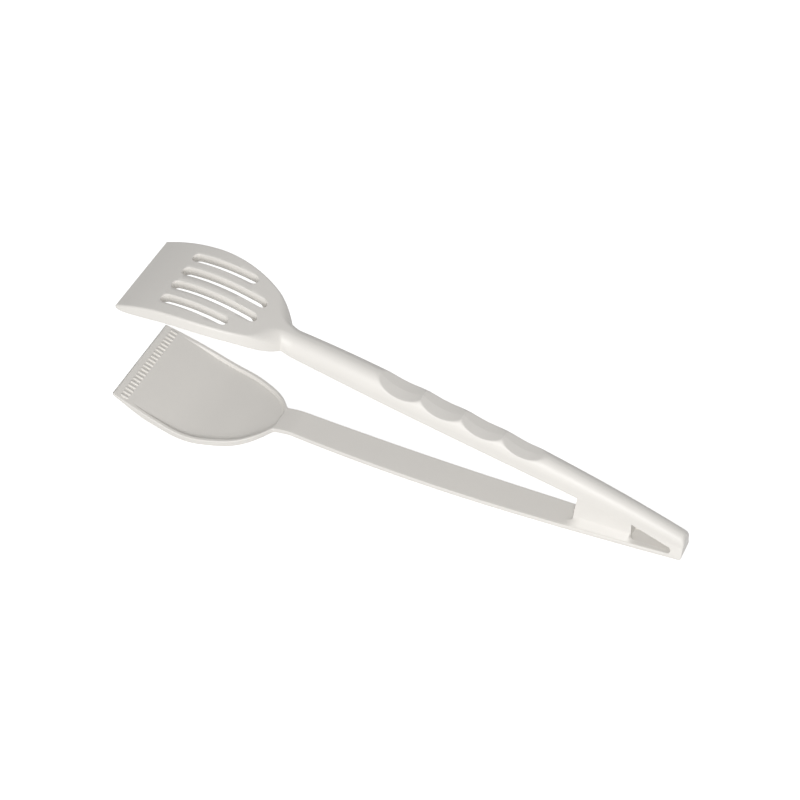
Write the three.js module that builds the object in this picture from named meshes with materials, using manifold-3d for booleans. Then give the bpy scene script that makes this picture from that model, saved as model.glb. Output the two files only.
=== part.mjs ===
// Salad tongs moulded in one piece: a slotted spatula head over a shallow scoop head. The upper arm is a
// domed grip with four finger scallops, the lower arm a thin bowed strip that springs open by itself. The arms
// meet in a tail with a hanging hole, and a recessed web ties them together in front of the hole.
// Millimetres. X runs from the heads to the tail, Y across, Z up. The tongs stand on the lower arm.
// A station is a distance ahead of the tail end, measured along the tongs.
import * as THREE from "three";
import { mergeVertices } from "three/addons/utils/BufferGeometryUtils.js";
import Module from "manifold-3d";

const wasm = await Module();
wasm.setup();

// Driving sizes of the whole
const overallLength = 291; // tail end to the front edge of the scoop
const bladeSetback = 6; // how far the upper head ends behind the scoop
const headLength = 88; // from the scoop's front edge back to the neck
const seam = 0.3; // clearance where one member of the moulding is parted from the next
const overrun = 3; // how far a cutter reaches past what it cuts

// Grip: the upper arm's beam, flat below and domed above
const gripFullStation = 150;
const gripUndersideAtTail = 8.8;
const gripSlope = THREE.MathUtils.degToRad(13.55);
const gripHeightAtTail = 2.5;
const gripHeightFull = 10.4;
const gripHeightAtNeck = 9.6;
const gripHalfWidthAtTail = 4.8;
const gripHalfWidthFull = 7.5;
const gripHalfWidthAtNeck = 7;
const gripWallAtNeck = 1.8; // upright part of its side below the dome
const gripWallFull = 4;
const gripWallLowStation = 165; // from here the upright part grows towards the tail
const gripWallFullStation = 105; // and here it is full
const gripWallMostShare = 0.6; // of the grip's height, where that is low

// Finger scallops across the grip
const scallopCount = 4;
const scallopPitch = 21.1;
const firstScallopStation = 146.9;
const scallopRadius = 24;
const scallopDepth = 3.5; // of the first, at the middle of the grip
const scallopDepthStep = 0.35; // each one towards the tail is shallower by this
const scallopFall = THREE.MathUtils.degToRad(8); // its floor falls to both sides from a crease in the middle

// Tail: the solid end that joins both arms
const tailLength = 9.5;
const tailCornerRadius = 2;
const tailFootRadius = 1.6;

// Web between the arms
const webFrontStation = 54;
const webRearStation = 26.5;
const webThickness = 8;
const webLean = 1.6; // its front edge leans forward by this from top to foot
const webFootFillet = 2.6;

// Lower strip, thin and bowed downwards
const stripLowStation = 88; // where the bow touches the table
const stripWideStation = 140;
const stripThickness = 2.5;
const stripRiseAtNeck = 5.4;
const stripRiseAtTail = 1;
const stripHalfWidthAtTail = 6.1;
const stripHalfWidthFull = 8.9;
const stripHalfWidthAtNeck = 8.3;
const flexStation = 60; // axis about which the strip springs

// Upper head: a slotted blade with turned-down edges. Its setbacks are measured from its own front edge.
const bladePeakSetback = 28;
const bladePeakHeight = 81.2;
const bladeFrontHeight = 76.3;
const bladeNeckSlope = THREE.MathUtils.degToRad(24);
const bladeHalfWidth = 27.3;
const bladeFrontTaper = 0.7; // how much narrower it is on each side at the front edge
const bladeShoulderLength = 50.5; // from its widest place to where the round shoulders close
const bladeDomeFade = 13; // ahead of the neck, where the grip's dome flattens out
const bladeEdgeDepth = 6.5;
const bladeEdgeRearSetback = 47; // behind this the edge deepens towards the grip
const bladeTipThickness = 0.8;
const bladeNoseLength = 22.5; // the stretch that thins towards the front edge
const bladePlate = 4.2;
const bladeRimWidth = 2.4;
const bladeHollowRearSetback = 61;
const bladeHollowFrontSetback = 13;

// Slots through the blade
const slotWidth = 5.8;
const slotPitch = 11;
const slotFrontSetback = 20;
const innerSlotLength = 45;
const outerSlotLength = 35;

// Lower head: a shallow scoop with a low rim. Its setbacks are measured from its own front edge.
const scoopWideSetback = 29;
const scoopHalfWidth = 30.7;
const scoopFrontTaper = 2.2;
const scoopShoulderLength = 50.5;
const scoopFlatFrontSetback = 47;
const scoopFlatRearSetback = 59;
const scoopRampSetback = 31;
const scoopRampAngle = THREE.MathUtils.degToRad(20);
const scoopDepth = 3.5; // rim to underside where the scoop lies flat
const scoopThinSetback = 17; // ahead of this it thins to its front edge
const scoopTipThickness = 1.2;
const scoopBelly = 3; // how much narrower its underside is on each side
const rimHeight = 1.8;
const rimWidth = 2;
const rimFrontSetback = 10;
const rimFullSetback = 29;
const hollowRearSetback = 78;

// Gripping ridges on the scoop's ramp
const ridgeCount = 21;
const ridgeInset = 2.1; // from each side of the scoop's front edge to the middle of the outermost
const ridgeLength = 4.4;
const ridgeWidth = 1.3;
const ridgeHeight = 0.6;
const ridgeSetback = 3.4; // from the scoop's front edge

// Fineness of the curved forms
const acrossSteps = 14;
const gripSteps = 44;
const headSteps = 16;
const roundSteps = 8;

const plastic = { color: 0xe6e2da, roughness: 0.38, metalness: 0 };

// Stations that follow from these sizes
const neckStation = overallLength - headLength; // both arms run into their heads here
const bladeFrontStation = overallLength - bladeSetback;
const bladePeakStation = bladeFrontStation - bladePeakSetback;
const bladeEdgeRearStation = bladeFrontStation - bladeEdgeRearSetback;
const scoopRampStation = overallLength - scoopRampSetback;
const scoopFlatFrontStation = overallLength - scoopFlatFrontSetback;
const scoopFlatRearStation = overallLength - scoopFlatRearSetback;
const rimFrontStation = overallLength - rimFrontSetback;

// Lines and shares

function xAt(station) {
  return overallLength / 2 - station;
}

// How much of the way from one value to another a value has come, held between 0 and 1.
function shareBetween(value, from, to) {
  return THREE.MathUtils.clamp((value - from) / (to - from), 0, 1);
}

// Equal steps from one value to another, both ends included.
function row(from, to, steps) {
  return Array.from({ length: steps + 1 }, (_, i) => from + ((to - from) * i) / steps);
}

// A line that has one value at its middle station and bends away to both ends as two parabolas.
function bowed(station, middle, rear, front) {
  const end = station < middle.at ? rear : front;
  const share = (station - middle.at) / (end.at - middle.at);
  return middle.value + (end.value - middle.value) * share * share;
}

// A cubic from one point to another that starts and ends at the given slopes.
function smoothLine(station, from, to) {
  const s = shareBetween(station, from.at, to.at);
  const run = to.at - from.at;
  const rise = s * s * (3 - 2 * s);
  const start = s * (1 - s) * (1 - s) * run * from.slope;
  const end = -s * s * (1 - s) * run * to.slope;
  return from.value + (to.value - from.value) * rise + start + end;
}

// Half an ellipse, as a share of its height.
function domeShare(across) {
  return Math.sqrt(Math.max(0, 1 - across * across));
}

// Bodies

function namedMesh(name, geometry) {
  const mesh = new THREE.Mesh(geometry, new THREE.MeshStandardMaterial(plastic));
  mesh.name = name;
  return mesh;
}

// A closed body whose sections stand at the given stations. Its top and bottom heights follow from the
// station and from the place across, which runs from -1 at the near side to 1 at the far side.
function slab({ stations, halfWidth, footHalfWidth = halfWidth, top, bottom }) {
  const across = row(-1, 1, acrossSteps).map((place) => Math.sin((place * Math.PI) / 2));
  const ordered = [...stations].sort((a, b) => b - a);
  const points = [];
  for (const station of ordered) {
    for (const place of across) points.push(xAt(station), place * halfWidth(station), top(station, place));
  }
  for (const station of ordered) {
    for (const place of across) {
      points.push(xAt(station), place * footHalfWidth(station), bottom(station, place));
    }
  }
  const columns = across.length;
  const below = ordered.length * columns;
  const faces = [];
  const quad = (a, b, c, d) => faces.push(a, b, c, a, c, d);
  for (let i = 0; i + 1 < ordered.length; i++) {
    for (let j = 0; j + 1 < columns; j++) {
      const a = i * columns + j;
      quad(a, a + columns, a + columns + 1, a + 1);
      quad(below + a, below + a + 1, below + a + columns + 1, below + a + columns);
    }
    const near = i * columns;
    const far = near + columns - 1;
    quad(near, below + near, below + near + columns, near + columns);
    quad(far, far + columns, below + far + columns, below + far);
  }
  for (let j = 0; j + 1 < columns; j++) {
    const last = below - columns + j;
    quad(j, j + 1, below + j + 1, below + j);
    quad(last, below + last, below + last + 1, last + 1);
  }
  const geometry = new THREE.BufferGeometry();
  geometry.setAttribute("position", new THREE.Float32BufferAttribute(points, 3));
  geometry.setIndex(faces);
  return geometry;
}

// A body of one outline right across the tongs. The outline is drawn in X and Z.
function acrossPrism(shape, width) {
  const geometry = new THREE.ExtrudeGeometry(shape, { depth: width, bevelEnabled: false });
  geometry.rotateX(Math.PI / 2);
  geometry.translate(0, width / 2, 0);
  return geometry;
}

function solidFrom(geometry) {
  const plain = geometry.clone();
  plain.deleteAttribute("normal");
  plain.deleteAttribute("uv");
  const merged = mergeVertices(plain);
  return new wasm.Manifold(
    new wasm.Mesh({
      numProp: 3,
      vertProperties: new Float32Array(merged.attributes.position.array),
      triVerts: new Uint32Array(merged.index.array),
    }),
  );
}

function cut(body, cutters) {
  let solid = solidFrom(body);
  for (const cutter of cutters) solid = solid.subtract(solidFrom(cutter));
  const mesh = solid.getMesh();
  const geometry = new THREE.BufferGeometry();
  geometry.setAttribute("position", new THREE.BufferAttribute(mesh.vertProperties, 3));
  geometry.setIndex(new THREE.BufferAttribute(mesh.triVerts, 1));
  return geometry;
}

// Grip

function gripUnderside(station) {
  return gripUndersideAtTail + station * Math.tan(gripSlope);
}

function gripHeight(station) {
  return bowed(
    station,
    { at: gripFullStation, value: gripHeightFull },
    { at: 0, value: gripHeightAtTail },
    { at: neckStation, value: gripHeightAtNeck },
  );
}

function gripHalfWidth(station) {
  return bowed(
    station,
    { at: gripFullStation, value: gripHalfWidthFull },
    { at: 0, value: gripHalfWidthAtTail },
    { at: neckStation, value: gripHalfWidthAtNeck },
  );
}

// The upright part grows evenly from its low station to its full one, and keeps below a share of the height.
function gripWall(station) {
  const grown = shareBetween(station, gripWallLowStation, gripWallFullStation);
  const wall = gripWallAtNeck + (gripWallFull - gripWallAtNeck) * grown;
  return Math.min(wall, gripHeight(station) * gripWallMostShare);
}

function gripTop(station, across) {
  const wall = gripWall(station);
  return gripUnderside(station) + wall + (gripHeight(station) - wall) * domeShare(across);
}

// Two round cutters across the grip, square to its slope and sunk from its crest by a depth. Each
// leans to one side, and they meet in the crease.
function scallopCutters(station, depth) {
  const width = (gripHalfWidthFull + overrun) * 2;
  const floor = gripUnderside(station) + gripHeight(station) - depth;
  return [-1, 1].map((side) => {
    const cutter = new THREE.CylinderGeometry(scallopRadius, scallopRadius, width, roundSteps * 6);
    cutter.translate(0, 0, scallopRadius);
    cutter.rotateX(side * -scallopFall);
    cutter.rotateY(gripSlope);
    cutter.translate(xAt(station), 0, floor);
    return cutter;
  });
}

function gripHandle() {
  const body = slab({
    stations: row(tailLength + seam, neckStation, gripSteps),
    halfWidth: gripHalfWidth,
    top: gripTop,
    bottom: gripUnderside,
  });
  const cutters = [];
  for (let i = 0; i < scallopCount; i++) {
    const depth = scallopDepth - i * scallopDepthStep;
    cutters.push(...scallopCutters(firstScallopStation - i * scallopPitch, depth));
  }
  return namedMesh("grip_handle", cut(body, cutters));
}

// Strip

function stripUnderside(station) {
  return bowed(
    station,
    { at: stripLowStation, value: 0 },
    { at: 0, value: stripRiseAtTail },
    { at: neckStation, value: stripRiseAtNeck },
  );
}

function stripTop(station) {
  return stripUnderside(station) + stripThickness;
}

function stripHalfWidth(station) {
  return bowed(
    station,
    { at: stripWideStation, value: stripHalfWidthFull },
    { at: 0, value: stripHalfWidthAtTail },
    { at: neckStation, value: stripHalfWidthAtNeck },
  );
}

// The root stops short of the axis by the moving strip's rounded end and the clearance.
function stripRoot() {
  const front = flexStation - stripThickness / 2 - seam;
  return namedMesh(
    "strip_root",
    slab({
      stations: row(tailLength + seam, front, roundSteps),
      halfWidth: stripHalfWidth,
      top: stripTop,
      bottom: stripUnderside,
    }),
  );
}

// The moving strip ends at its axis in a round as thick as itself, so that it turns without rubbing.
function springStrip() {
  const radius = stripThickness / 2;
  const middle = stripUnderside(flexStation) + radius;
  const flatEnd = radius / roundSteps; // keeps the last section of the round from closing to a line
  const halfAt = (station) => {
    const back = Math.min(flexStation - station, radius);
    return Math.max(Math.sqrt(radius * radius - back * back), flatEnd);
  };
  const rounded = row(0, Math.PI / 2, roundSteps).map((angle) => flexStation - radius * Math.sin(angle));
  return namedMesh(
    "spring_strip",
    slab({
      stations: [...rounded, ...row(flexStation, neckStation, gripSteps).slice(1)],
      halfWidth: stripHalfWidth,
      top: (station) => (station < flexStation ? middle + halfAt(station) : stripTop(station)),
      bottom: (station) => (station < flexStation ? middle - halfAt(station) : stripUnderside(station)),
    }),
  );
}

// Web, standing on the strip's root and reaching up to the grip

function webRib() {
  const headAt = (station) => gripUnderside(station) - seam;
  const footAt = (station) => stripTop(station) + seam;
  const frontFoot = webFrontStation + webLean;
  const shape = new THREE.Shape();
  shape.moveTo(xAt(webRearStation), footAt(webRearStation));
  shape.lineTo(xAt(webRearStation), headAt(webRearStation));
  shape.lineTo(xAt(webFrontStation), headAt(webFrontStation));
  shape.lineTo(xAt(frontFoot), footAt(frontFoot) + webFootFillet);
  shape.quadraticCurveTo(
    xAt(frontFoot),
    footAt(frontFoot),
    xAt(frontFoot + webFootFillet),
    footAt(frontFoot + webFootFillet),
  );
  for (const station of row(frontFoot, webRearStation, roundSteps).slice(0, -1)) {
    shape.lineTo(xAt(station), footAt(station));
  }
  return namedMesh("web_rib", acrossPrism(shape, webThickness));
}

// Tail block, which holds the round rear end of the hanging hole

// How far a round corner has come off a face, at a place near the tail's end.
function cornerLoss(station, radius) {
  return (1 - domeShare(shareBetween(station, radius, 0))) * radius;
}

function tailBlock() {
  const corner = row(0, Math.PI / 2, roundSteps).map((angle) => tailCornerRadius * (1 - Math.cos(angle)));
  const body = slab({
    stations: [...corner, tailLength],
    halfWidth: gripHalfWidth,
    footHalfWidth: stripHalfWidth,
    top: (station, across) => gripTop(station, across) - cornerLoss(station, tailCornerRadius),
    bottom: (station) => stripUnderside(station) + cornerLoss(station, tailFootRadius),
  });
  const radius = (gripUnderside(tailLength) - stripTop(tailLength)) / 2;
  const hole = new THREE.CylinderGeometry(
    radius,
    radius,
    (stripHalfWidthFull + overrun) * 2,
    roundSteps * 4,
  );
  hole.translate(xAt(tailLength), 0, stripTop(tailLength) + radius);
  return namedMesh("tail_block", cut(body, [hole]));
}

// Plan of a head: widest at one station, a little narrower at the front, and behind it round shoulders that
// close as an ellipse. The neck's width is joined to it with a power, and the inner corner is softer the lower
// that power is.

function shoulderHalfWidth(station, plan) {
  const behind = shareBetween(station, plan.wide, plan.wide - plan.shoulder);
  const ahead = shareBetween(station, plan.wide, plan.front);
  return plan.halfWidth * domeShare(behind) - (plan.halfWidth - plan.frontHalfWidth) * ahead * ahead;
}

function headHalfWidth(station, plan) {
  const head = Math.pow(shoulderHalfWidth(station, plan), plan.neckPower);
  const neck = Math.pow(plan.neckHalfWidth, plan.neckPower);
  const front = shareBetween(station, plan.wide, plan.wide - plan.shoulder);
  return Math.pow(head + neck * front, 1 / plan.neckPower);
}

// Stations along a head, closer together where its shoulders turn.
function headStations(plan, extra) {
  const shoulders = row(0, Math.PI / 2, headSteps).map(
    (angle) => plan.wide - plan.shoulder * Math.sin(angle),
  );
  const neckEnd = plan.wide - plan.shoulder;
  const neck = row(neckStation + seam, neckEnd, 2).slice(0, -1);
  const front = row(plan.wide, plan.front, headSteps).slice(1);
  const all = [...neck, ...shoulders, ...front, ...extra].sort((a, b) => a - b);
  return all.filter((station, i) => i === 0 || station - all[i - 1] > seam);
}

// Blade

const bladePlan = {
  wide: bladePeakStation,
  front: bladeFrontStation,
  halfWidth: bladeHalfWidth,
  frontHalfWidth: bladeHalfWidth - bladeFrontTaper,
  shoulder: bladeShoulderLength,
  neckHalfWidth: gripHalfWidthAtNeck,
  neckPower: 3,
};

function bladeCrest(station) {
  if (station < bladePeakStation) {
    return smoothLine(
      station,
      { at: neckStation, value: gripTop(neckStation, 0), slope: Math.tan(bladeNeckSlope) },
      { at: bladePeakStation, value: bladePeakHeight, slope: 0 },
    );
  }
  const ahead = shareBetween(station, bladePeakStation, bladeFrontStation);
  return bladePeakHeight - (bladePeakHeight - bladeFrontHeight) * ahead * ahead;
}

function bladeTop(station, across) {
  const dome = 1 - shareBetween(station, neckStation, neckStation + bladeDomeFade);
  return bladeCrest(station) - (gripHeightAtNeck - gripWallAtNeck) * dome * (1 - domeShare(across));
}

function bladeDepth(station) {
  const level = smoothLine(
    station,
    { at: neckStation, value: gripHeightAtNeck, slope: 0 },
    { at: bladeEdgeRearStation, value: bladeEdgeDepth, slope: 0 },
  );
  const nose = shareBetween(station, bladeFrontStation - bladeNoseLength, bladeFrontStation);
  return bladeTipThickness + (level - bladeTipThickness) * domeShare(nose);
}

function slotCutter(across, length) {
  const shape = new THREE.Shape();
  const radius = slotWidth / 2;
  const front = xAt(bladeFrontStation - slotFrontSetback);
  shape.absarc(front + radius, across, radius, Math.PI / 2, -Math.PI / 2, false);
  shape.absarc(front + length - radius, across, radius, -Math.PI / 2, Math.PI / 2, false);
  const geometry = new THREE.ExtrudeGeometry(shape, {
    depth: bladePeakHeight,
    bevelEnabled: false,
    curveSegments: roundSteps,
  });
  geometry.translate(0, 0, overrun);
  return geometry;
}

function slottedBlade() {
  const body = slab({
    stations: headStations(bladePlan, []),
    halfWidth: (station) => headHalfWidth(station, bladePlan),
    top: bladeTop,
    bottom: (station) => bladeCrest(station) - bladeDepth(station),
  });
  const hollowRear = bladeFrontStation - bladeHollowRearSetback;
  const hollowFront = bladeFrontStation - bladeHollowFrontSetback;
  const hollow = slab({
    stations: row(hollowRear, hollowFront, headSteps),
    halfWidth: (station) => shoulderHalfWidth(station, bladePlan) - bladeRimWidth,
    top: (station) => bladeCrest(station) - bladePlate,
    bottom: (station) => bladeCrest(station) - bladeEdgeDepth * 2,
  });
  const slots = [];
  for (const side of [-1, 1]) {
    slots.push(slotCutter((side * slotPitch) / 2, innerSlotLength));
    slots.push(slotCutter((side * slotPitch * 3) / 2, outerSlotLength));
  }
  return namedMesh("slotted_blade", cut(body, [hollow, ...slots]));
}

// Scoop

const scoopPlan = {
  wide: overallLength - scoopWideSetback,
  front: overallLength,
  halfWidth: scoopHalfWidth,
  frontHalfWidth: scoopHalfWidth - scoopFrontTaper,
  shoulder: scoopShoulderLength,
  neckHalfWidth: stripHalfWidthAtNeck,
  neckPower: 5,
};

// The rim is level where the scoop lies flat, bends up into a straight ramp ahead of that and rises to the
// strip behind it.
function scoopRim(station) {
  const ramp = Math.tan(scoopRampAngle);
  const bend = shareBetween(station, scoopFlatFrontStation, scoopRampStation);
  const bendRun = scoopRampStation - scoopFlatFrontStation;
  const rise = (ramp * bendRun * bend * bend) / 2 + ramp * Math.max(0, station - scoopRampStation);
  if (station >= scoopFlatRearStation) return scoopDepth + rise;
  return smoothLine(
    station,
    { at: neckStation, value: stripTop(neckStation), slope: 0 },
    { at: scoopFlatRearStation, value: scoopDepth, slope: 0 },
  );
}

function scoopThickness(station) {
  const rear = smoothLine(
    station,
    { at: neckStation, value: stripThickness, slope: 0 },
    { at: scoopFlatRearStation, value: scoopDepth, slope: 0 },
  );
  const front = shareBetween(station, overallLength - scoopThinSetback, overallLength);
  return rear + (scoopTipThickness - scoopDepth) * front;
}

function rimFade(station) {
  return shareBetween(station, rimFrontStation, overallLength - rimFullSetback);
}

function scoopFloor(station) {
  return scoopRim(station) - rimHeight * rimFade(station);
}

function scoop() {
  const halfWidth = (station) => headHalfWidth(station, scoopPlan);
  const belly = (station) => {
    const behind = shareBetween(station, scoopFlatRearStation, neckStation);
    const ahead = shareBetween(station, scoopFlatFrontStation, rimFrontStation);
    return scoopBelly * (1 - behind) * (1 - ahead);
  };
  const body = slab({
    stations: headStations(scoopPlan, [scoopFlatRearStation, scoopFlatFrontStation, scoopRampStation]),
    halfWidth,
    footHalfWidth: (station) => halfWidth(station) - belly(station),
    top: scoopRim,
    bottom: (station) => scoopRim(station) - scoopThickness(station),
  });
  const hollow = slab({
    stations: row(overallLength - hollowRearSetback, rimFrontStation, headSteps),
    halfWidth: (station) => shoulderHalfWidth(station, scoopPlan) - rimWidth,
    top: (station) => scoopRim(station) + overrun,
    bottom: scoopFloor,
  });
  return namedMesh("scoop", cut(body, [hollow]));
}

// A row of low bars along the scoop's ramp, parallel to the tongs.
function gripRidges() {
  const station = overallLength - ridgeSetback - ridgeLength / 2;
  const lift = seam + ridgeHeight / 2;
  const outermost = scoopPlan.frontHalfWidth - ridgeInset;
  return row(-outermost, outermost, ridgeCount - 1).map((across, i) => {
    const name = "scoop_ridge_" + String(i + 1).padStart(2, "0");
    const ridge = namedMesh(name, new THREE.BoxGeometry(ridgeLength, ridgeWidth, ridgeHeight));
    ridge.rotation.y = scoopRampAngle;
    ridge.position.set(
      xAt(station) + lift * Math.sin(scoopRampAngle),
      across,
      scoopRim(station) + lift * Math.cos(scoopRampAngle),
    );
    return ridge;
  });
}

const upperArm = new THREE.Group();
upperArm.add(gripHandle(), slottedBlade(), webRib(), tailBlock(), stripRoot());

const lowerArm = new THREE.Group();
lowerArm.add(springStrip(), scoop(), ...gripRidges());

const tongs = new THREE.Group();
tongs.add(upperArm, lowerArm);

export default tongs;
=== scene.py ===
import math

import bpy
import numpy as np
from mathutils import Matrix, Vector


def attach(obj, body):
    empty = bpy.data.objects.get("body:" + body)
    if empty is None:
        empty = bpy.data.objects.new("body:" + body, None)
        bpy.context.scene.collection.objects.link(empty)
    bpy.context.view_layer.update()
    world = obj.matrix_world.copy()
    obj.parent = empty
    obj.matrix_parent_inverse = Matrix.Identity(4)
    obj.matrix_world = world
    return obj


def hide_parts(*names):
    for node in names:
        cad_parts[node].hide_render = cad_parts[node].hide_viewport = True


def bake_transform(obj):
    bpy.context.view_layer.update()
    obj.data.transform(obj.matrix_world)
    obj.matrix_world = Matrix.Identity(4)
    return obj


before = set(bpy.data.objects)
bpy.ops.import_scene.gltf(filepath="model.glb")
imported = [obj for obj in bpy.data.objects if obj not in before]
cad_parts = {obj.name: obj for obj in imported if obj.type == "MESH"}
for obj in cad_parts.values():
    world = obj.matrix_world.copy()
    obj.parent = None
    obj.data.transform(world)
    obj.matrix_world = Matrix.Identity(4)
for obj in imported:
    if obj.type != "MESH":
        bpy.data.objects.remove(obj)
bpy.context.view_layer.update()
mm = 0.001

# Stations are millimetres ahead of the tail end. X runs the other way.
tongs = {
    "length": 291.0,
    "neck": 203.0,  # where both arms pass into their heads
    "joint": 58.45,  # where the moving part of the strip begins
    "bendEnd": 85.0,  # the strip bends between the joint and this station
    "jointHeight": 1.3,
    "pastJoint": 0.85,  # how far the cuts of the web and the hole reach past the joint
    "sharpAngle": 38,
}
bendStart = ((tongs["length"] / 2 - tongs["joint"]) * mm, 0.0, tongs["jointHeight"] * mm)
bendEnd = ((tongs["length"] / 2 - tongs["bendEnd"]) * mm, 0.0, tongs["jointHeight"] * mm)


# Lines and shares

def shareBetween(value, start, end):
    # how much of the way from start to end a value has come, held between 0 and 1
    return np.clip((value - start) / (end - start), 0.0, 1.0)


def eased(share):
    # the share with a level start and end: three squares less two cubes
    return share * share * (3.0 - 2.0 * share)


def domeOf(across):
    # half an ellipse as a share of its height: root of one less the square
    return np.sqrt(np.maximum(0.0, 1.0 - across * across))


def quarterTurn(count):
    # angles from nought to a right angle
    return np.linspace(0, math.pi / 2, count)


def bowed(t, middleAt, values, frontAt, power=2.0):
    # a power curve that leaves the middle value for the tail's, and a parabola for the front's
    rear = values[1] + (values[0] - values[1]) * (np.abs(t - middleAt) / middleAt) ** power
    front = values[1] + (values[2] - values[1]) * ((t - middleAt) / (frontAt - middleAt)) ** 2
    return np.where(t < middleAt, rear, front)


def smoothLine(t, start, end):
    # a cubic between two points (at, value, slope) with given slopes
    s = shareBetween(t, start[0], end[0])
    run = end[0] - start[0]
    rise = eased(s)
    return (start[1] + (end[1] - start[1]) * rise + s * (1 - s) ** 2 * run * start[2]
            - s * s * (1 - s) * run * end[2])


def softened(line, reach):
    # a line averaged over a reach on both sides, with weights that fall off as a cosine
    step, margin = 0.1, 10.0
    grid = np.arange(-margin, tongs["length"] + margin, step)
    count = int(reach / step)
    weights = 1.0 + np.cos(np.linspace(-math.pi, math.pi, 2 * count + 1))
    values = np.convolve(line(grid), weights / weights.sum(), mode="same")
    return lambda t: np.interp(t, grid, values)


def softLess(a, b, width):
    # the lesser of two heights, rounded where they cross: less a quarter of the squared nearness
    near = np.maximum(width - np.abs(a - b), 0.0) / width
    return np.minimum(a, b) - near * near * width * 0.25


def slopeOf(line, t):
    # the rise over a short step round the place, divided by the step
    step = 0.1
    return (line(t + step / 2) - line(t - step / 2)) / step


def frontLossOf(t, front, radius):
    # what a quarter round takes off before the front edge: radius less the root of its square less the reach's
    reach = np.maximum(0.0, t - (front - radius))
    return radius - np.sqrt(np.maximum(0.0, radius ** 2 - reach ** 2))


def tailLossOf(t, radius):
    # what a quarter round takes off behind a radius from the tail end
    return (1 - domeOf(shareBetween(t, radius, 0.0))) * radius


def placedInset(t, line, inset):
    # places at an inset square to the outline: back along its normal from the outline's own point
    slope = slopeOf(line, t)
    length = np.sqrt(1.0 + slope * slope)
    return t + inset * slope / length, line(t) - inset / length


def inwards(t, y, middle, shares):
    # rows that go on straight from the last inset row to the middle line
    return t + (middle - t) * shares, y * (1.0 - shares)


def stationsOf(stretches, ends):
    # rows along the tongs from stretches (start, end, spacing) and ends, without those that nearly meet
    nearest = 0.03
    t = np.unique(np.round(np.concatenate([np.arange(*stretch) for stretch in stretches] + ends), 3))
    return t[np.concatenate([[True], np.diff(t) > nearest])]


def pointsOf(*coordinates):
    # rows of coordinates to an array of points
    return np.stack(coordinates, axis=-1)


# Meshes

def newPiece(name, vertices, faces):
    # a mesh from places (station, across, up) in millimetres, turned to metres about the middle of the length
    vertices = np.asarray(vertices, dtype=float).reshape(-1, 3)
    vertices = np.column_stack([tongs["length"] / 2 - vertices[:, 0], vertices[:, 1], vertices[:, 2]]) * mm
    mesh = bpy.data.meshes.new(name)
    mesh.from_pydata(vertices.tolist(), [], faces)
    mesh.validate()
    piece = bpy.data.objects.new(name, mesh)
    bpy.context.scene.collection.objects.link(piece)
    return piece


def loftFaces(rings, points, start=0, wrap=True):
    # quads between each ring and the next
    i, j = np.meshgrid(np.arange(rings - 1), np.arange(points if wrap else points - 1), indexing="ij")
    k = (j + 1) % points
    quads = pointsOf(i * points + j, (i + 1) * points + j, (i + 1) * points + k, i * points + k)
    return (quads.reshape(-1, 4) + start).tolist()


def endFaces(ring, points, turned):
    # an end of a ring that is the same on both sides, closed by strips from side to side
    half = points // 2
    faces = [[ring, ring + 1, ring + points - 1]]
    faces += [[ring + j, ring + j + 1, ring + points - j - 1, ring + points - j] for j in range(1, half - 1)]
    faces.append([ring + half - 1, ring + half, ring + half + 1])
    return [face[::-1] for face in faces] if turned else faces


def mouldedBody(name, t, y, z):
    # rings of half sections from the top's middle to the underside's middle, mirrored to the other side
    ring = pointsOf(t, y, z)
    mirrored = ring[:, -2:0:-1] * (1.0, -1.0, 1.0)
    whole = np.concatenate([ring, mirrored], axis=1)
    rings, points = whole.shape[:2]
    faces = loftFaces(rings, points)
    faces += endFaces(0, points, False)
    faces += endFaces((rings - 1) * points, points, True)
    return newPiece(name, whole, faces)


def cutterBody(name, rings):
    # closed rings lofted one to the next, with both ends closed
    rings = np.asarray(rings)
    count, points = rings.shape[:2]
    faces = loftFaces(count, points)
    faces.append(list(range(points)))
    faces.append(list(range((count - 1) * points, count * points))[::-1])
    return newPiece(name, rings, faces)


def facedOutwards(piece):
    # turns the faces round where the volume inside them comes out negative
    mesh = piece.data
    mesh.calc_loop_triangles()
    corners = np.empty(len(mesh.loop_triangles) * 3, dtype=np.int32)
    mesh.loop_triangles.foreach_get("vertices", corners)
    points = np.empty(len(mesh.vertices) * 3)
    mesh.vertices.foreach_get("co", points)
    a, b, c = points.reshape(-1, 3)[corners.reshape(-1, 3)].transpose(1, 0, 2)
    if np.einsum("ij,ij->i", a, np.cross(b, c)).sum() < 0:
        mesh.flip_normals()


def cutFrom(piece, cutters):
    # the piece less each cutter in turn; the cutters are used up
    facedOutwards(piece)
    for cutter in cutters:
        facedOutwards(cutter)
        cut = piece.modifiers.new("cut", "BOOLEAN")
        cut.operation = "DIFFERENCE"
        cut.solver = "MANIFOLD"
        cut.object = cutter
    shaped = piece.evaluated_get(bpy.context.evaluated_depsgraph_get())
    mesh = bpy.data.meshes.new_from_object(shaped)
    piece.modifiers.clear()
    piece.data = mesh
    for cutter in cutters:
        bpy.data.objects.remove(cutter)


def smoothed(piece, angle):
    # smooth shading, with a sharp edge where two faces meet at more than the angle
    facedOutwards(piece)
    mesh = piece.data
    mesh.polygons.foreach_set("use_smooth", np.ones(len(mesh.polygons), dtype=bool))
    mesh.set_sharp_from_angle(angle=math.radians(angle))
    mesh.update()


# Grip, with heights, half widths and dome rises at the tail, where it is fullest, and at the neck

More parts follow.
